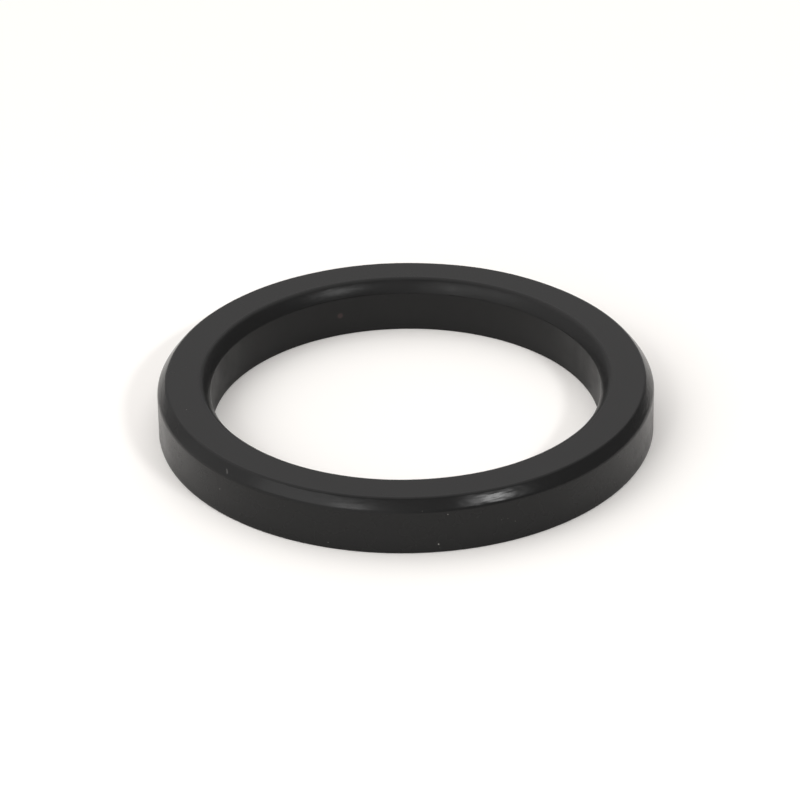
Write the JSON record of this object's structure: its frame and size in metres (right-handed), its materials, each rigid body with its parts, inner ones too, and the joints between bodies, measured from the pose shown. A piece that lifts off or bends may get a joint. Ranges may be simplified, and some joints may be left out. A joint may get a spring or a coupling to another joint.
{
  "type": "group head gasket",
  "caption": "Flat black rubber sealing ring with a square-footed section and a soft-edged bevel round the outside and the bore of its top face.",
  "frame": {"origin": "centre of the seating face, on the ring's axis, where the ring rests on a surface", "axes": "+Z along the ring's axis, from the plain seating face to the bevelled top face"},
  "size_m": [0.073, 0.073, 0.0083],
  "materials": {
    "black_rubber": "satin moulded rubber, glossier on the bevels"
  },
  "bodies": {
    "root": {"gasket_ring": "black_rubber"}
  },
  "joints": []
}
